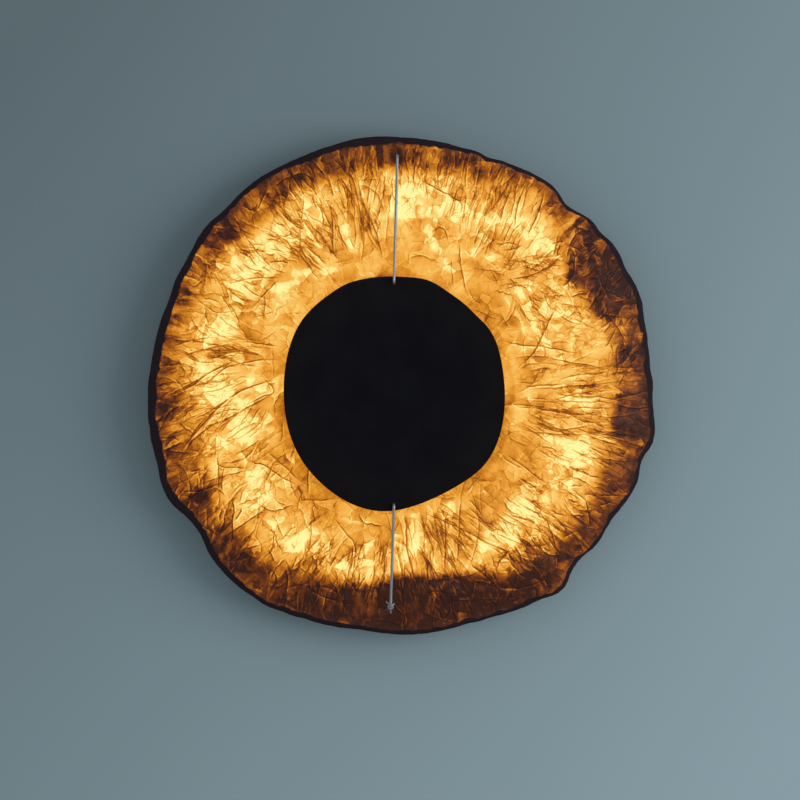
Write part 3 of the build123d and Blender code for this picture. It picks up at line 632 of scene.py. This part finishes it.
# Soft pale streaks: two ends, half-width in mm, and gain
PALE_STREAKS = [
    (93, 75, 117, 36, 3.2, 0.2), (106, 78, 128, 30, 3.2, 0.22), (-140, -22, -136, -52, 5, 0.18),
    (-56, 96, -92, 92, 4, 0.14), (14, -122, 14, -176, 3.4, 0.14), (46, -112, 47, -170, 4.2, 0.2),
    (76, -152, 112, -116, 6, 0.2), (-96, 70, -150, 108, 8, 0.14), (-90, 84, -126, 74, 3, 0.16),
    (-108, 0, -112, -34, 3, 0.14), (66, 112, 92, 100, 5, 0.12), (-30, -128, -60, -122, 4, 0.12),
    (112, 26, 150, 34, 4, 0.12), (100, -44, 150, -58, 4, 0.12), (-44, 118, -50, 146, 3.4, 0.12),
    (34, 116, 20, 146, 5, 0.12),
]
# The hoop behind the skin casts a faint painted shadow ring round the hole
HOOP_SHADOW_RING = (105.5, 108.5)
HOOP_SHADOW_LOSS = 0.09
CREASE_LOSS = 0.14
GLOW_LIMITS = (0.115, 1.25)


def hot_patches(x, z):
    """How near each point is to a bright patch or streak."""
    hot = 0 * x
    for px, pz, size, gain in HOT_SPOTS:
        hot = hot + gain * np.exp(-((x - px) ** 2 + (z - pz) ** 2) / (1.1 * size) ** 2)
    for ax, az, bx, bz, width, gain in PALE_STREAKS:
        length = math.hypot(bx - ax, bz - az)
        run = np.clip(((x - ax) * (bx - ax) + (z - az) * (bz - az)) / length**2, 0, 1)
        off = np.hypot(x - ax - run * (bx - ax), z - az - run * (bz - az))
        hot = hot + gain * np.exp(-(off / width) ** 2)
    return hot


def outer_zone(x, z, angle, reach):
    """The glow beyond the LED box's outline, and how far into that zone each point is, 0 to 1."""
    # Past the LED box's edge the outer zone gets less of the lamp's light: painted shade
    dark = by_angle(angle, OUTER_SHADE)
    dark = dark + 0.16 * around(angle, reach, 60, 30, 41) + 0.1 * around(angle, reach, 150, 40, 43)
    edge = by_angle(angle, BOX_EDGE) + 3.5 * around(angle, 0 * reach, 40, 1, 47)
    glow = np.clip(0.78 - 0.72 * dark, 0.05, 0.7)
    glow = glow - 0.18 * ease(reach, 196, 222) + 0.10 * layered(x, z, 15, 51)
    return glow, ease(reach, edge - 3 - 9 * (1 - dark), edge + 7 + 10 * (1 - dark))


def light_through(skin, shade):
    """Each point's glow, its nearness to a lamp chip, and how far in mm it lies into the rim's unlit band."""
    x, z, angle, reach = skin.x / MM, skin.z / MM, skin.angle, skin.reach / MM
    glow = np.interp(reach, GLOW_RADII, GLOW_INSIDE)
    glow = glow + 0.07 * layered(x, z, 46, 21) + 0.05 * layered(x, z, 17, 31)
    hot = hot_patches(x, z)
    off_hole = np.hypot(x - HOLE_MIDDLE[0] / MM, z - HOLE_MIDDLE[1] / MM)
    # Painted shadow of the hoop behind the skin
    ring = (1 - ease(off_hole, *HOOP_SHADOW_RING)) * (0.6 + 0.6 * around(angle, 0 * reach, 9, 1, 81))
    glow = glow + 0.5 * hot - HOOP_SHADOW_LOSS * ring
    outer, past = outer_zone(x, z, angle, reach)
    glow = glow * (1 - past) + outer * past
    for px, pz, size, loss in SHADOW_PATCHES:
        # Each painted shadow patch takes light off the glow
        shadow_blot = np.exp(-((x - px) ** 2 + (z - pz) ** 2) / size**2)
        glow = glow - loss * shadow_blot * (0.8 + 0.5 * layered(x, z, 9, 61))
    glow = glow - CREASE_LOSS * np.clip(shade, -1.2, 2.0) * (0.45 + 0.55 * glow)
    ragged = 1.1 * around(angle, 0 * reach, 110, 1, 71) + 0.8 * around(angle, 0 * reach, 240, 1, 73)
    band = by_angle(angle, RIM_BAND) + ragged
    rim_edge = np.where(skin.behind, 8.0, reach - (skin.rim / MM - band))
    return np.clip(glow, *GLOW_LIMITS), hot * (1 - past), rim_edge


# ---- the skin's mesh ----

# The disc's edge swings back to a depth of 67.5 mm, so the skin under it stays lower than this
UNDER_DISC = 67.1 * MM
# Radii between which that limit fades out, and the room it gives way to
PAST_DISC = (106 * MM, 124 * MM)
ROOM_PAST_DISC = 6 * MM
# Where the wires' anchors pull the skin in
DIMPLES = [(-0.5, 197), (-6.5, -203)]
DIMPLE_DEPTH = 3.2 * MM
DIMPLE_SIZE = 5.5


def roughness(skin, height):
    """How far each point stands off the smooth form: swells, pleats, creases and dimples."""
    x, z = skin.x / MM, skin.z / MM
    swell = 1.5 * layered(x, z, 52, 3) + 0.45 * layered(x, z, 14, 5)
    pleats = around(skin.angle, skin.reach / MM, 330, 60, 9) * ease(skin.reach / MM, 178, 204)
    rough = (swell + 0.7 * pleats) * MM + height
    for px, pz in DIMPLES:
        rough = rough - DIMPLE_DEPTH * np.exp(-((x - px) ** 2 + (z - pz) ** 2) / DIMPLE_SIZE**2)
    calm = ease(skin.reach / MM, 85, 92) * np.where(skin.behind, 0.35, 1)
    return rough * calm


def crumpled_points(skin, height):
    """The crumpled skin's points: roughness moves the front in depth and the steep side outwards."""
    steep = ease(skin.share, 0.5, 1.0)
    rough = roughness(skin, height) * (1 - 0.65 * steep)
    flutter = 0.55 * around(skin.angle, 0 * skin.reach, 70, 1, 13)
    flutter = flutter + 0.12 * around(skin.angle, 0 * skin.reach, 190, 1, 15)
    x, z = skin.front_view(skin.reach + (rough + flutter * MM) * steep)
    ceiling = UNDER_DISC + ROOM_PAST_DISC * ease(skin.reach, *PAST_DISC)
    depth = np.minimum(skin.depth + rough * (1 - 0.8 * steep), ceiling)
    return np.stack([x, -depth, z], axis=-1).reshape(-1, 3)


def grid_faces():
    row, column = np.meshgrid(np.arange(ACROSS - 1), np.arange(AROUND), indexing="ij")
    after = (column + 1) % AROUND
    here, below = row * AROUND, (row + 1) * AROUND
    return np.stack([here + column, below + column, below + after, here + after], axis=-1).reshape(-1, 4)


def make_skin():
    skin = Skin()
    height, shade, distance, strength = crumple(skin)
    glow, hot, rim_edge = light_through(skin, shade)
    faces = grid_faces()
    mesh = bpy.data.meshes.new("crumpled_skin")
    mesh.from_pydata(crumpled_points(skin, height).tolist(), [], faces.tolist())
    mesh.polygons.foreach_set("use_smooth", np.ones(len(faces), bool))
    for name, values in (("glow", glow), ("hot", hot), ("rim_edge", rim_edge)):
        field = mesh.attributes.new(name, "FLOAT", "POINT")
        field.data.foreach_set("value", values.astype(np.float32).ravel())
    for group in range(FOLD_GROUPS):
        packed = np.stack([distance[group] / MM, strength[group], 0 * glow], axis=-1)
        field = mesh.attributes.new(f"fold_{group}", "FLOAT_VECTOR", "POINT")
        field.data.foreach_set("vector", packed.astype(np.float32).ravel())
    piece = add_object("crumpled_skin", mesh)
    mesh.materials.append(skin_material())
    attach(piece, "shade")
    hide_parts("shade_skin")


# ---- the lower wire's twisted ends ----

WIRE_TWIST_R = 0.9 * MM
WIRE_TWIST_TIP = 0.55
WIRE_SIDES = 12
WIRE_STEPS = 6
# Bent ends of the lower wire, from the middle of the clamp's front: across, up and out, in mm
WIRE_TWISTS = [
    [(-4.4, 4.8, 2.0), (-2.4, 3.4, 3.0), (-0.6, 1.0, 3.4), (-0.1, -2.0, 3.0), (0.3, -6.0, 0.6)],
    [(3.4, 3.0, 1.4), (1.8, 1.8, 2.8), (0.2, -0.2, 3.6), (-1.6, -1.4, 3.0)],
]


def smooth_route(points):
    """A curve through the points, with WIRE_STEPS parts to each span."""
    padded = [2 * points[0] - points[1], *points, 2 * points[-1] - points[-2]]
    out = []
    for a, b, c, d in zip(padded, padded[1:], padded[2:], padded[3:]):
        for step in range(WIRE_STEPS):
            out.append(curve_between(a, b, c, d, step / WIRE_STEPS))
    return out + [points[-1]]


def add_rod(route, points, faces):
    """Adds a round rod along the route, with closed, slightly tapered ends."""
    first = len(points)
    ends = (0, len(route) - 1)
    for index, point in enumerate(route):
        ahead = route[min(index + 1, ends[1])] - route[max(index - 1, 0)]
        turn = ahead.to_track_quat("Z", "Y")
        radius = WIRE_TWIST_R * (WIRE_TWIST_TIP if index in ends else 1)
        for side in range(WIRE_SIDES):
            angle = TURN * side / WIRE_SIDES
            points.append(point + turn @ Vector((math.cos(angle), math.sin(angle), 0)) * radius)
    for ring in range(ends[1]):
        for side in range(WIRE_SIDES):
            here, after = first + ring * WIRE_SIDES, (side + 1) % WIRE_SIDES
            faces.append((here + side, here + after, here + WIRE_SIDES + after, here + WIRE_SIDES + side))
    faces.append(tuple(range(first + WIRE_SIDES - 1, first - 1, -1)))
    faces.append(tuple(range(len(points) - WIRE_SIDES, len(points))))


def make_wire_twists():
    """The twisted ends of the lower wire at its clamp, as round bent rods."""
    low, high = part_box("lower_clamp")
    middle = Vector((low + high) / 2)
    middle.y = low[1]
    points, faces = [], []
    for bend in WIRE_TWISTS:
        add_rod(smooth_route([middle + Vector((x, -out, z)) * MM for x, z, out in bend]), points, faces)
    mesh = bpy.data.meshes.new("wire_twists")
    mesh.from_pydata([tuple(p) for p in points], [], faces)
    mesh.polygons.foreach_set("use_smooth", np.ones(len(faces), bool))
    mesh.materials.append(metal("wire_ends", srgb(152, 158, 168), 0.4))
    piece = add_object("wire_twists", mesh)
    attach(piece, "shade")


# ---- the skin's material ----


def fold_lines(n):
    """The painted shade along the core of every crease and the painted highlight beside it, from the fold
    fields.
    """
    dark, bright = 0.0, 0.0
    for group in range(FOLD_GROUPS):
        parts = n.add("ShaderNodeSeparateXYZ")
        n.feed(parts.inputs[0], n.attribute(f"fold_{group}", "Vector"))
        across, power = parts.outputs[0], parts.outputs[1]
        half = n.math("MULTIPLY_ADD", power, 0.55, 0.35)
        core = n.math("SUBTRACT", 1.0, n.math("DIVIDE", n.math("ABSOLUTE", across), half), clamp=True)
        core = n.math("MULTIPLY", n.math("POWER", core, 0.6), power)
        dark = n.math("MAXIMUM", dark, core)
        off_edge = n.math("ABSOLUTE", n.math("ADD", across, 1.25))
        edge = n.math("SUBTRACT", 1.0, n.math("MULTIPLY", off_edge, 1.2), clamp=True)
        bright = n.math("MAXIMUM", bright, n.math("MULTIPLY", edge, power))
    return dark, bright


# The radius, in metres, at which the patterns that follow the pleats have their true width
PATTERN_RADIUS = 0.19


def around_and_out(n, place, stretch):
    """Coordinates round the circle and out along the radius, so that patterns follow the pleats."""
    flat = n.vector_math("MULTIPLY", place, (1, 0, 1))
    reach = n.vector_math("LENGTH", flat)
    split = n.add("ShaderNodeSeparateXYZ")
    n.feed(split.inputs[0], n.vector_math("SCALE", n.vector_math("NORMALIZE", flat), scale=PATTERN_RADIUS))
    drawn = n.add("ShaderNodeCombineXYZ")
    n.feed(drawn.inputs[0], split.outputs[0])
    n.feed(drawn.inputs[1], split.outputs[2])
    n.feed(drawn.inputs[2], n.math("MULTIPLY", reach, stretch))
    return drawn.outputs[0], reach


def facets(n, vector, scale, edge_width):
    """Flat facets, each shaded across by its own tilt, and the thin lines between them."""
    cells = n.add("ShaderNodeTexVoronoi", feature="F1")
    n.feed(cells.inputs["Vector"], vector)
    cells.inputs["Scale"].default_value = scale
    tilt = n.vector_math("SUBTRACT", cells.outputs["Color"], (0.5, 0.5, 0.5))
    offset = n.vector_math("SUBTRACT", vector, cells.outputs["Position"])
    shade = n.math("MULTIPLY", n.vector_math("DOT_PRODUCT", tilt, offset), scale)
    lines = n.step(n.voronoi(vector, scale), 0.0, edge_width, 1.0, 0.0)
    return shade, lines


def centred_noise(n, *settings):
    """Noise about zero."""
    return n.math("SUBTRACT", n.noise(*settings), 0.5)


def times(n, *values):
    """The values multiplied together, the last two first."""
    product = values[-1]
    for value in reversed(values[:-1]):
        product = n.math("MULTIPLY", value, product)
    return product


def skin_facets(n, place):
    """The skin's plates, facets and pleats, each as a shade about zero, and all their lines as one."""
    drawn, reach = around_and_out(n, place, 0.5)
    wander = n.vector_math("SUBTRACT", n.noise(place, 30, 3.0, colour=True), (0.5, 0.5, 0.5))
    flatter = n.vector_math("MULTIPLY", place, (1, 0.3, 1))
    even = n.vector_math("ADD", flatter, n.vector_math("SCALE", wander, scale=0.024))

    # Flat plates about 20 mm across, each a little paler or deeper than the next
    plates = n.add("ShaderNodeTexVoronoi", feature="F1")
    n.feed(plates.inputs["Vector"], even)
    plates.inputs["Scale"].default_value = 58
    plate = n.math("SUBTRACT", n.vector_math("DOT_PRODUCT", plates.outputs["Color"], (1, 0, 0)), 0.5)

    # Small facets between the creases: even further in, and drawn out along the radius far out
    coarse, coarse_lines = facets(n, even, 84, 0.045)
    fine_place = n.vector_math("ADD", drawn, n.vector_math("SCALE", wander, scale=0.026))
    fine, fine_lines = facets(n, fine_place, 175, 0.09)
    patchy = n.step(n.noise(place, 46, 2.0), 0.42, 0.58)
    far_out = n.step(reach, 0.120, 0.165, 0.35, 1.0)
    patchy_fine = n.math("MULTIPLY", n.step(n.noise(place, 70, 2.0), 0.40, 0.56), far_out)
    patchy_fine = n.math("MULTIPLY", patchy_fine, n.step(reach, 0.186, 0.204, 1.0, 0.6))
    coarse_lines = times(n, coarse_lines, patchy, 0.7)
    fine_lines = times(n, fine_lines, patchy_fine, 0.8)
    lines = n.math("MAXIMUM", coarse_lines, fine_lines)

    # Pleats that gather towards the rim
    long_drawn, _ = around_and_out(n, place, 0.13)
    pleat_place = n.vector_math("ADD", long_drawn, n.vector_math("SCALE", wander, scale=0.012))
    pleat, pleat_lines = facets(n, pleat_place, 150, 0.10)
    in_light = n.step(n.attribute("glow"), 0.12, 0.36, 0.35, 1.0)
    gathered = n.math("MULTIPLY", n.step(reach, 0.182, 0.206), in_light)
    lines = n.math("MAXIMUM", lines, times(n, pleat_lines, gathered, 0.9))

    coarse_shade = n.math("MULTIPLY", coarse, patchy)
    fine_shade = n.math("MULTIPLY", fine, patchy_fine)
    pleat_shade = n.math("MULTIPLY", pleat, gathered)
    return plate, coarse, coarse_shade, fine_shade, pleat_shade, lines


def skin_light(n, place, dark, bright, mottle, cloud):
    """The light through the skin, 0 to 1, before the rim's unlit band, and the facets' lines."""
    glow = n.attribute("glow")
    plate, coarse, coarse_shade, fine_shade, pleat_shade, lines = skin_facets(n, place)
    light = n.math("MULTIPLY_ADD", mottle, 0.20, glow)
    light = n.math("MULTIPLY_ADD", cloud, 0.24, light)
    light = n.math("MULTIPLY_ADD", plate, n.math("MULTIPLY", glow, 0.22), light)
    light = n.math("MULTIPLY_ADD", coarse_shade, 0.34, light)
    light = n.math("MULTIPLY_ADD", fine_shade, 0.34, light)
    light = n.math("MULTIPLY_ADD", pleat_shade, 0.30, light)
    edged = n.math("MULTIPLY_ADD", plate, 0.16, n.math("MULTIPLY_ADD", coarse, 0.25, n.attribute("hot")))
    light = n.math("MULTIPLY_ADD", n.step(edged, 0.10, 0.15), 0.15, light)
    # Painted highlight on the lit side of each crease
    light = n.math("MULTIPLY_ADD", bright, 0.16, light)
    speck = n.step(n.voronoi(place, 300, "F1"), 0.10, 0.2, 1.0, 0.0)
    speck = n.math("MULTIPLY", speck, n.step(n.noise(place, 95, 1.0), 0.54, 0.64))
    # Painted shade along the crease cores and the facets' lines; the specks are marks in the sheet
    keep = n.math("MULTIPLY_ADD", dark, -0.62, 1.0)
    keep = n.math("MULTIPLY", keep, n.math("MULTIPLY_ADD", lines, -0.34, 1.0))
    keep = n.math("MULTIPLY", keep, n.math("MULTIPLY_ADD", speck, -0.28, 1.0))
    return n.math("MULTIPLY", n.math("MAXIMUM", light, 0.11), keep), lines


# The skin's colour from no light to the most
LIGHT_COLOURS = [
    (0.00, srgb(10, 6, 8)), (0.10, srgb(49, 22, 14)), (0.22, srgb(98, 46, 14)), (0.36, srgb(156, 83, 12)),
    (0.50, srgb(206, 128, 24)), (0.64, srgb(240, 165, 58)), (0.78, srgb(251, 197, 98)),
    (0.90, srgb(253, 230, 140)), (1.00, srgb(254, 247, 160)),
]


def skin_material():
    """Varnished, crumpled sheet lit from behind: the glow is an emission, broken up by creases and fibres."""
    n = Nodes("amber_skin")
    place = n.place()
    dark, bright = fold_lines(n)
    mottle = centred_noise(n, place, 230, 5.0, 0.65)
    cloud = centred_noise(n, place, 60, 4.0, 0.6, 0.6)
    light, lines = skin_light(n, place, dark, bright, mottle, cloud)
    ragged = n.math("MULTIPLY_ADD", centred_noise(n, place, 170, 3.0), 4.0, n.attribute("rim_edge"))
    inside = n.step(ragged, -0.7, 0.5, 1.0, 0.0)
    light = n.math("MULTIPLY", light, inside, clamp=True)
    lit = n.mix(cloud, srgb(16, 8, 6), srgb(24, 12, 9))
    hem = n.mix(cloud, srgb(44, 35, 39), srgb(60, 49, 51))
    n.set(
        Base_Color=n.mix(inside, hem, lit),
        Roughness=0.45,
        Emission_Color=n.ramp(light, LIGHT_COLOURS),
        Emission_Strength=1.0,
        Specular_IOR_Level=n.math("MULTIPLY", inside, 0.15),
    )
    relief = n.math("MULTIPLY_ADD", mottle, 0.5, n.math("MULTIPLY", n.math("ADD", dark, lines), -0.8))
    relief = n.math("MULTIPLY", relief, n.math("MULTIPLY_ADD", inside, 0.75, 0.25))
    n.bump(relief, 0.6, 0.0007)
    return n.material


# ---- finishes of the CAD nodes ----


def painted(name, colour, roughness=0.5, texture=90, tint=0.12):
    """Paint or enamel: slight clouding, a fine orange-peel bump and uneven gloss."""
    n = Nodes(name)
    cloud = n.noise(n.place(), texture * 0.4, 4.0)
    darker = tuple(c * (1 - tint) for c in colour[:3]) + (1.0,)
    gloss = n.step(n.noise(n.place(), texture, 3.0), 0.3, 0.7, roughness - 0.08, roughness + 0.08)
    n.set(Base_Color=n.mix(cloud, darker, colour), Roughness=gloss)
    n.bump(n.noise(n.place(), texture * 12, 2.0), 0.12, 0.0002)
    return n.material


def metal(name, colour, roughness=0.32, grain=(1, 1, 1)):
    """Bare or plated metal, with a grain drawn out along one axis where the part has one."""
    n = Nodes(name)
    drawn = n.vector_math("MULTIPLY", n.place(), grain)
    streak = n.noise(drawn, 700, 3.0)
    darker = tuple(c * 0.8 for c in colour[:3]) + (1.0,)
    uneven = n.step(streak, 0.3, 0.7, roughness - 0.07, roughness + 0.09)
    n.set(Base_Color=n.mix(streak, darker, colour), Metallic=1.0, Roughness=uneven)
    n.bump(streak, 0.1, 0.0001)
    return n.material


def moulded(name, colour, roughness=0.55):
    """Plastic, rubber or insulation with a fine grain."""
    n = Nodes(name)
    grain = n.noise(n.place(), 900, 3.0)
    darker = tuple(c * 0.86 for c in colour[:3]) + (1.0,)
    uneven = n.step(grain, 0.3, 0.7, roughness - 0.06, roughness + 0.08)
    n.set(Base_Color=n.mix(n.noise(n.place(), 60, 3.0), darker, colour), Roughness=uneven)
    n.bump(grain, 0.2, 0.0002)
    return n.material


def disc_finish():
    """Near-black paint, a touch browner towards the cut edge, with faint brush marks and dust."""
    n = Nodes("disc_black")
    place = n.place()
    low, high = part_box("centre_disc")
    middle = (low + high) / 2
    centred = n.vector_math("MULTIPLY", n.vector_math("SUBTRACT", place, tuple(middle)), (1, 0, 1))
    out = n.step(n.vector_math("LENGTH", centred), 0.060, 0.104)
    cloud = n.noise(place, 34, 4.0)
    tone = n.mix(out, srgb(9, 6, 14), srgb(17, 9, 10))
    colour = n.mix(n.math("MULTIPLY", cloud, 0.3), tone, srgb(14, 9, 16))
    n.set(Base_Color=colour, Roughness=n.step(cloud, 0.3, 0.7, 0.72, 0.86), Specular_IOR_Level=0.15)
    n.bump(n.noise(n.vector_math("MULTIPLY", place, (0.2, 1, 1)), 480, 3.0), 0.12, 0.0002)
    return n.material


def glowing_chip():
    n = Nodes("led_phosphor")
    cell = n.voronoi(n.place(), 900, "F1")
    n.set(
        Base_Color=n.mix(cell, srgb(250, 214, 90), srgb(255, 232, 150)),
        Roughness=0.35,
        Emission_Color=n.mix(cell, srgb(255, 214, 140), srgb(255, 236, 190)),
        Emission_Strength=3.0,
    )
    return n.material


def striped_lead():
    """Green insulation with a yellow stripe that winds slowly round it."""
    n = Nodes("lead_green")
    wave = n.add("ShaderNodeTexWave", wave_type="BANDS", bands_direction="DIAGONAL")
    n.feed(wave.inputs["Vector"], n.place())
    wave.inputs["Scale"].default_value = 60
    stripe = n.step(wave.outputs["Fac"], 0.45, 0.55)
    n.set(Base_Color=n.mix(stripe, srgb(40, 130, 40), srgb(225, 200, 40)), Roughness=0.5)
    return n.material


def make_finishes():
    return {
        "rim_dark": painted("rim_dark", srgb(52, 38, 36), 0.55, 120, 0.3),
        "disc_black": disc_finish(),
        "wire_steel": metal("wire_steel", srgb(176, 176, 180), 0.4, (1, 1, 0.04)),
        "frame_steel": painted("frame_steel", srgb(70, 60, 55), 0.5, 110),
        "frame_white": painted("frame_white", srgb(226, 220, 206), 0.45, 110),
        "liner_black": painted("liner_black", srgb(44, 40, 40), 0.85, 160, 0.25),
        "white_enamel": painted("white_enamel", srgb(232, 230, 224), 0.34, 70, 0.05),
        "zinc_plate": metal("zinc_plate", srgb(196, 196, 190), 0.38),
        "bright_steel": metal("bright_steel", srgb(205, 205, 202), 0.28),
        "magnet_nickel": metal("magnet_nickel", srgb(208, 204, 194), 0.2),
        "brass": metal("brass", srgb(214, 178, 96), 0.26),
        "rubber": moulded("rubber", srgb(30, 30, 31), 0.7),
        "board_white": painted("board_white", srgb(238, 238, 232), 0.4, 240, 0.04),
        "led_phosphor": glowing_chip(),
        "driver_case": moulded("driver_case", srgb(218, 218, 214), 0.5),
        "terminal_plastic": moulded("terminal_plastic", srgb(226, 220, 200), 0.5),
        "lead_white": moulded("lead_white", srgb(228, 226, 218), 0.45),
        "lead_brown": moulded("lead_brown", srgb(112, 66, 34), 0.45),
        "lead_green": striped_lead(),
    }


def finish_nodes(hidden):
    """Gives each CAD node that stays in view the finish of its slot."""
    finishes = make_finishes()
    for entry in frame["record"]["subparts"]:
        node = entry["node"]
        if node in hidden:
            continue
        target = frame["nodes"][node]
        target.data.materials.clear()
        target.data.materials.append(finishes[entry["material_slot"]])


make_camera()
make_lights()
make_stage()
make_skin()
make_wire_twists()
finish_nodes({"shade_skin"})
bpy.context.scene.view_settings.view_transform = "Standard"
